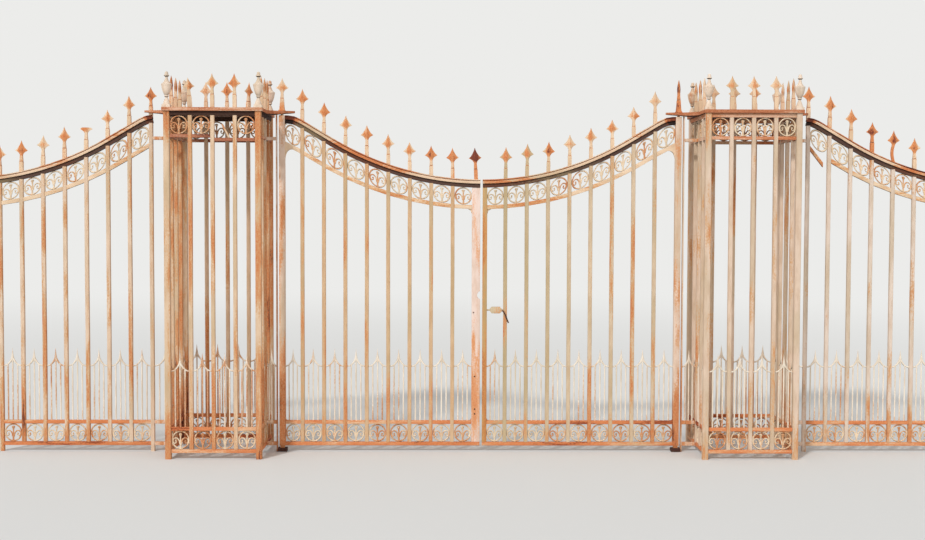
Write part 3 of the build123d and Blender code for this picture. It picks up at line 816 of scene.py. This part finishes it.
# Hinge gussets
# A hollow-edged plate is riveted in the corner between each hanging stile and the rail under
# the frieze, where the leaf's weight pulls.
frieze_rail_foot = 0.209     # joint under the cap to the underside of the lower frieze rail
gusset_reach = 0.100
gusset_drop = 0.125
gusset_half_depth = 0.0145
hollow_edge = [math.pi / 2 * k / 8 for k in range(9)]
gusset_outline = [(0.0, 0.004)] + [
    (-gusset_reach * (1 - math.sin(turn)), -gusset_drop * (1 - math.cos(turn)))
    for turn in hollow_edge]
for side in ("left", "right"):
    group = f"{side}_leaf"
    low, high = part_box(f"{group}_hanging_stile")
    inner = low.x if side == "right" else high.x
    way = sweeps[group][0]
    reach = abs(inner - gate_middle[0])
    at_stile = sweep_height(reach, -frieze_rail_foot)
    spots = []
    for along, drop in gusset_outline:
        fall = sweep_height(reach + along, -frieze_rail_foot) - at_stile
        spots.append((inner + way * along, at_stile + drop + fall * (1 + drop / gusset_drop)))
    bm = bmesh.new()
    skin(bm, [[(x, gate_middle[1] + depth, z) for x, z in spots]
              for depth in (-gusset_half_depth, gusset_half_depth)])
    dressed(mesh_of(f"{side}_hinge_gusset", bm), frieze_rail_paint, group)

# Ring and scroll castings
# Thin cast rings that fill the frieze and the base band, one in each bay. A stem with a
# trumpet head stands in each ring between two scrolls that rise from its foot and curl in.
scroll_paint = painted("scroll_paint", (238, 217, 188), (216, 164, 118), (190, 112, 68), brown,
                       -0.10, grime=0.2, growth=0.35)
ring_half_width = 0.070
ring_half_height = 0.075
frieze_depth = 0.177         # joint under the cap to the top of the lower frieze rail
octagon = math.tan(math.pi / 8)


def smooth_path(points, steps):
    """Points along a smooth curve that passes through the given points."""
    ends = [points[0]] + points + [points[-1]]
    path = []
    for k in range(1, len(ends) - 2):
        a, b, c, d = (Vector(point) for point in ends[k - 1:k + 3])
        for step in range(steps):
            t = step / steps
            path.append(tuple(0.5 * (2 * b + (c - a) * t + (2 * a - 5 * b + 4 * c - d) * t ** 2
                                     + (3 * b - a - 3 * c + d) * t ** 3)))
    path.append(points[-1])
    return path


# Ring, then its two scrolls with a ball at the end of each, then the stem
rim = 0.0058                 # half of its thickness
half_depth = 0.006
ball_radius = 0.0080
bm = bmesh.new()
strip(bm, oval(ring_half_width - rim, ring_half_height - rim, 36), oval(rim, half_depth),
      closed=True)
curl = [(0.08, -0.46), (0.13, -0.18), (0.22, 0.03), (0.38, 0.18), (0.57, 0.21), (0.75, 0.11),
        (0.83, -0.10), (0.76, -0.31), (0.60, -0.36), (0.48, -0.25), (0.53, -0.11)]
for way in (-1, 1):
    path = smooth_path([(way * x * ring_half_width, z * ring_half_height) for x, z in curl], 3)
    taper = [1.0 - 0.3 * k / len(path) for k in range(len(path))]
    strip(bm, path, oval(rim, rim), taper)
    ball = Matrix.Translation((path[-1][0], 0.0, path[-1][1]))
    bmesh.ops.create_icosphere(bm, subdivisions=1, radius=ball_radius, matrix=ball)
stem = [(-0.97, 1.25), (-0.6, 1.2), (-0.3, 1.1), (-0.05, 0.95), (0.2, 0.9), (0.4, 1.2),
        (0.54, 1.9), (0.62, 2.4), (0.68, 1.8), (0.74, 0.6)]
strip(bm, [(0.0, z * ring_half_height) for z, _ in stem], oval(half_depth, half_depth, 8),
      [width for _, width in stem])
ring_pattern = pattern_piece("ring_pattern", bm)
# rust of each group's rings; the left pier's is raised partly as painted shade
ring_rust_with_shade = {"left_pier": 0.20, "right_pier": 0.14, "right_leaf": 0.04, "left_leaf": 0.03}

for group, body in bodies.items():
    seats = []
    for k, (low, high) in enumerate(solids(f"{group}_frieze_rings")):
        middle, across, turn = bay_of(low, high)
        slope = 0.0
        if group in sweeps:
            reaches = [reach_on(group, x) for x in (low.x, high.x)]
            heights = [sweep_height(reach, -frieze_depth) for reach in reaches]
            slope = (heights[1] - heights[0]) / across
        tall = (high.z - low.z) / 2 - octagon * abs(slope) * across / 2
        size = (across / 2 / ring_half_width, 1.0, tall / ring_half_height)
        seats.append((middle, size, (0.0, 0.0, turn),
                      uneven(k * 7 + 3, 0.8) + ring_rust_with_shade.get(group, 0.0), slope))
    seated(f"{group}_frieze_scrolls", ring_pattern, seats, scroll_paint, body,
           f"{group}_frieze_rings", lean=0.03)

bm = bmesh.new()
strip(bm, [(-0.235, 2.606), (-0.243, 2.630), (-0.262, 2.665), (-0.277, 2.690), (-0.291, 2.721)],
      oval(0.0075, 0.006), [1.3, 1.1, 0.9, 1.2, 0.8])
strip(bm, [(-0.186, 2.655), (-0.184, 2.675), (-0.194, 2.693), (-0.210, 2.712), (-0.224, 2.738)],
      oval(0.0065, 0.006), [1.1, 1.4, 1.3, 0.9, 0.5])
dressed(mesh_of("left_pier_broken_scroll", bm), scroll_paint, "root", 0.05)

# Base band rings
# The same castings stand between the bottom rail and the rail above it, one under each bay,
# stretched to fill the band.
floor_rail_under = 0.06      # a floor rail's foot is lower than this
upper_rail_foot = (0.20, 0.25)
for group, body in bodies.items():
    rails = solids(f"{group}_base_rails")
    floor_rails = [box for box in rails if box[0].z < floor_rail_under]
    upper_rails = [box for box in rails if upper_rail_foot[0] < box[0].z < upper_rail_foot[1]]
    below = floor_rails[0][1].z
    seats = []
    for k, (low, high) in enumerate(upper_rails):
        middle, across, turn = bay_of(low, high)
        tall = low.z - below
        seats.append(((middle.x, middle.y, (low.z + below) / 2),
                      (across / 2 / ring_half_width, 1.0, tall / 2 / ring_half_height),
                      (0.0, 0.0, turn), uneven(k * 7 + 1, 0.8)))
    seated(f"{group}_base_scrolls", ring_pattern, seats, scroll_paint, body,
           lean=0.03)

# Short bars with swags
# Three thin rods stand in each bay on the rail over the base band. A forged strip hangs in a
# swag from the middle one to the bars on each side, and the middle rod ends in a thorn.
rod_paint = painted("rod_paint", (240, 229, 212), (218, 176, 138), (188, 114, 76), brown, -0.20,
                    growth=0.3)
rod_width = 0.012
swag_section = chamfered(0.0105, 0.011, 0.002)
swag_growth = 0.7            # how much broader it gets towards the middle rod
swag_sink = 0.004            # its middle line under its top edge
swag_curve = 2.2


def comb_piece(name, width, low, base, tip):
    """Rods, swag and thorn of one bay, on the middle of its foot.

    low and base are the heights of the swag's ends and middle above the foot, tip the thorn's.
    """
    bm = bmesh.new()
    half = width / 2
    gap = (width - 3 * rod_width) / 4
    rise = base - low - 0.010

    def swag(x):
        """Height of the swag at a distance from the middle rod."""
        return low - swag_sink + rise * (1 - abs(x) / half) ** swag_curve

    section = oval(rod_width / 2, rod_width / 2, 8)
    for x in (-gap - rod_width, gap + rod_width):
        strip(bm, straight(x, swag(x), 8), section)
    strip(bm, straight(0.0, base, 8), section)
    thorn = [(0.0, 1.0), (0.12, 1.95), (0.24, 1.75), (0.40, 1.25), (0.60, 0.78), (0.8, 0.42),
             (1.0, 0.10)]
    root = base - 0.030
    strip(bm, [(0.0, root + (tip - root) * z) for z, _ in thorn], section,
          [scale for _, scale in thorn])
    steps = 14
    for way in (-1, 1):
        path = [(way * half * (1 - k / steps), swag(half * (1 - k / steps)))
                for k in range(steps + 1)]
        strip(bm, path, swag_section,
              [1.0 + swag_growth * (k / steps) ** 3 for k in range(steps + 1)])
    return pattern_piece(name, bm)


comb_width = 0.145
comb_foot = solids("left_leaf_dog_bars")[0][0].z
comb_heights = [height - comb_foot for height in (0.723, 0.800, short_bars[1])]
comb_pattern = comb_piece("comb_pattern", comb_width, *comb_heights)
comb_rust = {"left_pier": 0.18, "left_leaf": 0.04, "left_wing": 0.04}
for group, body in bodies.items():
    seats = []
    for k, (low, high) in enumerate(solids(f"{group}_dog_bars")):
        middle, across, turn = bay_of(low, high)
        seats.append(((middle.x, middle.y, comb_foot), (across / comb_width, 1.0, 1.0),
                      (0.0, 0.0, turn), uneven(k * 5 + 2, 0.8) + comb_rust.get(group, 0.0)))
    seated(f"{group}_short_bars", comb_pattern, seats, rod_paint, body,
           node=f"{group}_dog_bars", wander=0.006)

for side in ("left", "right"):
    for bay in ("jamb", "link"):
        low, high = [box for box in solids(f"{side}_{bay}_bay")
                     if round(box[1].z, 3) == short_bars[1]][0]
        middle = (low + high) / 2
        narrow = comb_piece(f"{side}_{bay}_pattern", high.x - low.x, *comb_heights)
        seated(f"{side}_{bay}_short_bars", narrow, [
            ((middle.x, middle.y, comb_foot), (1.0, 1.0, 1.0), zero, 0.0)], rod_paint, "root",
            wander=0.004)

# Arrowheads
# Cast finials over every bar: a square shaft with a collar line, a thinner neck, and a
# four-pointed head with hollow sides and a ridge down its middle. The heads have lost most
# of their paint.
head_finish = painted("head_finish", (234, 204, 172), (220, 156, 106), (202, 112, 62),
                      (122, 62, 46), 0.02)
head_tall = 0.167            # collar to tip
point_tall = 0.080           # widest level to tip


def arrowhead_piece(name, height, flare=0.0, broken=False, bend=0.0):
    """Finial on the middle of its foot, with the collar line head_tall under its tip.

    flare widens the foot, a broken one ends at its widest, and bend is how far a wasted shaft
    bows to the side.
    """
    bm = bmesh.new()
    collar = height - head_tall
    widest = height - point_tall
    # Height, half width, half thickness, corner across and through, bareness of edge and face
    levels = [(0.0, 0.0160, 0.0160, 0.0152, 0.0152, -0.17, -0.17),
              (collar - 0.0035, 0.0160, 0.0160, 0.0152, 0.0152, -0.17, -0.17),
              (collar, 0.0130, 0.0130, 0.0120, 0.0120, 0.45, 0.45),
              (collar + 0.0035, 0.0145, 0.0145, 0.0134, 0.0134, -0.14, -0.14),
              (collar + 0.024, 0.0132, 0.0132, 0.0120, 0.0120, -0.16, -0.16),
              (widest - 0.044, 0.0120, 0.0122, 0.0106, 0.0106, -0.14, -0.10),
              (widest - 0.032, 0.0148, 0.0126, 0.0102, 0.0098, -0.08, 0.00),
              (widest - 0.021, 0.0215, 0.0132, 0.0112, 0.0085, -0.08, 0.08),
              (widest - 0.012, 0.0320, 0.0138, 0.0135, 0.0075, -0.10, 0.14),
              (widest - 0.005, 0.0455, 0.0142, 0.0160, 0.0068, -0.12, 0.16),
              (widest, 0.0535, 0.0143, 0.0170, 0.0066, -0.12, 0.17),
              (widest + 0.005, 0.0470, 0.0142, 0.0165, 0.0068, -0.12, 0.16),
              (widest + 0.013, 0.0370, 0.0136, 0.0145, 0.0072, -0.10, 0.15),
              (widest + 0.024, 0.0280, 0.0126, 0.0120, 0.0070, -0.08, 0.12),
              (widest + 0.040, 0.0178, 0.0105, 0.0086, 0.0058, -0.04, 0.08),
              (widest + 0.056, 0.0094, 0.0072, 0.0048, 0.0040, 0.00, 0.04),
              (widest + 0.068, 0.0046, 0.0040, 0.0024, 0.0022, 0.02, 0.04),
              (height, 0.0012, 0.0012, 0.0008, 0.0008, 0.02, 0.04)]
    if flare:
        foot = [(0.0, 1.0), (0.006, 1.0), (0.012, 0.55), (0.030, 0.35), (0.060, 0.15)]
        levels[0:1] = [(z, *(part + flare * share for part in levels[0][1:3]),
                        *(part + flare * share * 0.95 for part in levels[0][3:5]), 0.05, 0.05)
                       for z, share in foot]
    if broken:
        levels = [level for level in levels if level[0] < widest + 0.014]
    shaft = widest - 0.030
    if bend:
        wasted = [(shaft * k / 9, 0.0115, 0.0115, 0.0105, 0.0105, 0.06, 0.06)
                  for k in range(1, 8)]
        levels = levels[:1] + wasted + [level for level in levels if level[0] > shaft - 0.015]
    bare = bm.verts.layers.float.new("bare")
    outlines = []
    for z, w, t, cx, cy, _, _ in levels:
        up = min(1.0, z / shaft)
        bow = bend * (0.6 * (1.0 - up) - math.sin(math.pi * up))
        outlines.append([(x + bow, y, z) for x, y in (
            (w, 0.0), (cx, cy), (0.0, t), (-cx, cy), (-w, 0.0), (-cx, -cy), (0.0, -t), (cx, -cy))])
    for loop, (*_, edge, face) in zip(skin(bm, outlines), levels):
        for k, vertex in enumerate(loop):
            vertex[bare] = face if k % 4 else edge
    return pattern_piece(name, bm)


rail_head_height = 0.267
rise_over_cap = 0.247        # of an unstretched head
head_heights = {             # over the cap, from left to right
    "left_wing": (0.250, 0.255, 0.252, 0.261, 0.245, 0.230, 0.240, 0.232),
    "left_leaf": (0.256, 0.251, 0.247, 0.253, 0.248, 0.238, 0.245, 0.251, 0.263),
    "right_leaf": (0.260, 0.266, 0.249, 0.258, 0.249, 0.236, 0.243, 0.264),
    "right_wing": (0.258, 0.262, 0.262, 0.248, 0.258, 0.257, 0.240, 0.250)}
pier_head_height = 0.273
rail_head = arrowhead_piece("rail_head", rail_head_height)
pier_head = arrowhead_piece("pier_head", pier_head_height)
ear_head = arrowhead_piece("ear_head", pier_head_height, flare=0.013)
broken_head = arrowhead_piece("broken_head", rail_head_height, broken=True)
bowed_head = arrowhead_piece("bowed_head", rail_head_height, bend=0.016)
head_rust = {"right_leaf": -0.07, "right_pier": -0.09, "right_wing": 0.08}
ear_rust = {"left_pier": -0.05, "right_pier": 0.22}
rusty_heads = {("left_leaf", 8): 0.35}
damaged_heads = (("left_wing", 4), ("right_wing", 4))
bent_heads = {               # turns about X, Y and Z
    ("left_pier", 3): (0.05, -0.10, 0.55), ("left_leaf", 8): (0.0, -0.035, 0.0),
    ("left_pier", 8): (0.02, 0.06, 0.9)}
short_heads = {("left_pier", 3): 0.87}

for group, body in bodies.items():
    seats, odd_seats = [], []
    on_pier = group.endswith("pier")
    height = pier_head_height if on_pier else rail_head_height
    for k, (low, high) in enumerate(solids(f"{group}_arrowheads")):
        middle, _, own_turn = bay_of(low, high)
        on_ear = on_pier and beyond_plate(middle.x) > 0
        tall = short_heads.get((group, k), 1.0)
        if group in head_heights:
            tall = head_heights[group][k] / rise_over_cap
        turn = Vector(bent_heads.get((group, k), zero))
        turn.z += own_turn
        rust = uneven(k * 5 + 4, 0.6) + head_rust.get(group, 0.03)
        if on_ear:
            rust += ear_rust[group]
        rust += rusty_heads.get((group, k), 0.0)
        seat = ((middle.x, middle.y, high.z - height), (1.0, 1.0, tall), tuple(turn), rust)
        (odd_seats if on_ear or (group, k) in damaged_heads else seats).append(seat)
    seated(f"{group}_finials", pier_head if on_pier else rail_head, seats, head_finish, body,
           f"{group}_arrowheads", lean=0.02)
    if odd_seats:
        odd_piece = {"left_wing": broken_head, "right_wing": bowed_head}.get(group, ear_head)
        seated(f"{group}_odd_finials", odd_piece, odd_seats, head_finish, body,
               lean=0.02)

# Urns
# Cast lidded urns on the four corners of each pier: a square plinth, a flared foot, a round
# body with a rim, and a domed lid with a knob. Thick old paint is left on most of them.
urn_paint = painted("urn_paint", (236, 216, 196), (206, 166, 132), orange, brown, -0.15,
                    grime=0.35)
# Radius and height up the side of the round part, height and half width of the plinth
urn_profile = [(0.0305, 0.0200), (0.0298, 0.0240), (0.0270, 0.0340), (0.0220, 0.0480),
               (0.0165, 0.0620), (0.0110, 0.0730), (0.0098, 0.0790), (0.0125, 0.0830),
               (0.0172, 0.0870), (0.0178, 0.0930), (0.0150, 0.0960), (0.0175, 0.1000),
               (0.0235, 0.1110), (0.0300, 0.1260), (0.0352, 0.1420), (0.0388, 0.1580),
               (0.0402, 0.1720), (0.0425, 0.1770), (0.0430, 0.1850), (0.0400, 0.1885),
               (0.0320, 0.1940), (0.0240, 0.2020), (0.0180, 0.2120), (0.0135, 0.2230),
               (0.0108, 0.2360), (0.0100, 0.2440), (0.0160, 0.2480), (0.0215, 0.2530),
               (0.0200, 0.2590), (0.0145, 0.2630), (0.0140, 0.2690), (0.0135, 0.2780),
               (0.0105, 0.2840), (0.0040, 0.2880)]
plinth = [(0.0, 0.033), (0.0185, 0.033), (0.0205, 0.031), (0.0225, 0.031)]
bm = bmesh.new()
revolve(bm, urn_profile, 24)
skin(bm, [[(-r, -r, z), (r, -r, z), (r, r, z), (-r, r, z)] for z, r in plinth])
urn_pattern = pattern_piece("urn_pattern", bm)
for side in ("left", "right"):
    seats = []
    for k, (low, high) in enumerate(solids(f"{side}_pier_urns")):
        middle = (low + high) / 2
        seats.append(((middle.x, middle.y, low.z), (1.0, 1.0, 1.0), zero, uneven(k * 2 + 1)))
    seated(f"{side}_pier_vases", urn_pattern, seats, urn_paint, "root",
           f"{side}_pier_urns", lean=0.015)

# Lock case and pivot blocks
# The lock is a flat iron case strapped between the closing stile and the first bar of the
# right leaf, with a dark bent rod that crosses in front of that bar. Each leaf turns on an iron
# block set in the ground under its hinge stile.
lock_finish = painted("lock_finish", (242, 222, 198), (216, 150, 100), orange, brown, -0.18)
block_finish = painted("block_finish", (150, 130, 110), (140, 88, 60), (120, 66, 44), (74, 46, 38),
                       0.2)
refined("lock_case", "lock_body", lock_finish, "right_leaf", 0.0, 0.004)
rod_finish = painted("latch_rod_finish", (120, 92, 76), (100, 66, 50), (92, 54, 40), (52, 36, 30),
                     0.1)
rod_forward = 0.0225
bm = bmesh.new()
strip(bm, [(1.992, 1.188), (2.001, 1.186), (2.009, 1.172), (2.022, 1.146), (2.034, 1.112),
           (2.045, 1.088)], oval(0.006, 0.005))
bm.transform(Matrix.Translation((0.0, gate_middle[1] - rod_forward, 0.0)))
dressed(mesh_of("latch_rod", bm), rod_finish, "right_leaf")
for side in ("left", "right"):
    refined(f"{side}_pivot_socket", f"{side}_pivot_block", block_finish, "root",
            0.1, 0.004)

size = {"cad": [list(corner) for corner in cad_box],
        "visual": [list(corner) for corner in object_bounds()]}
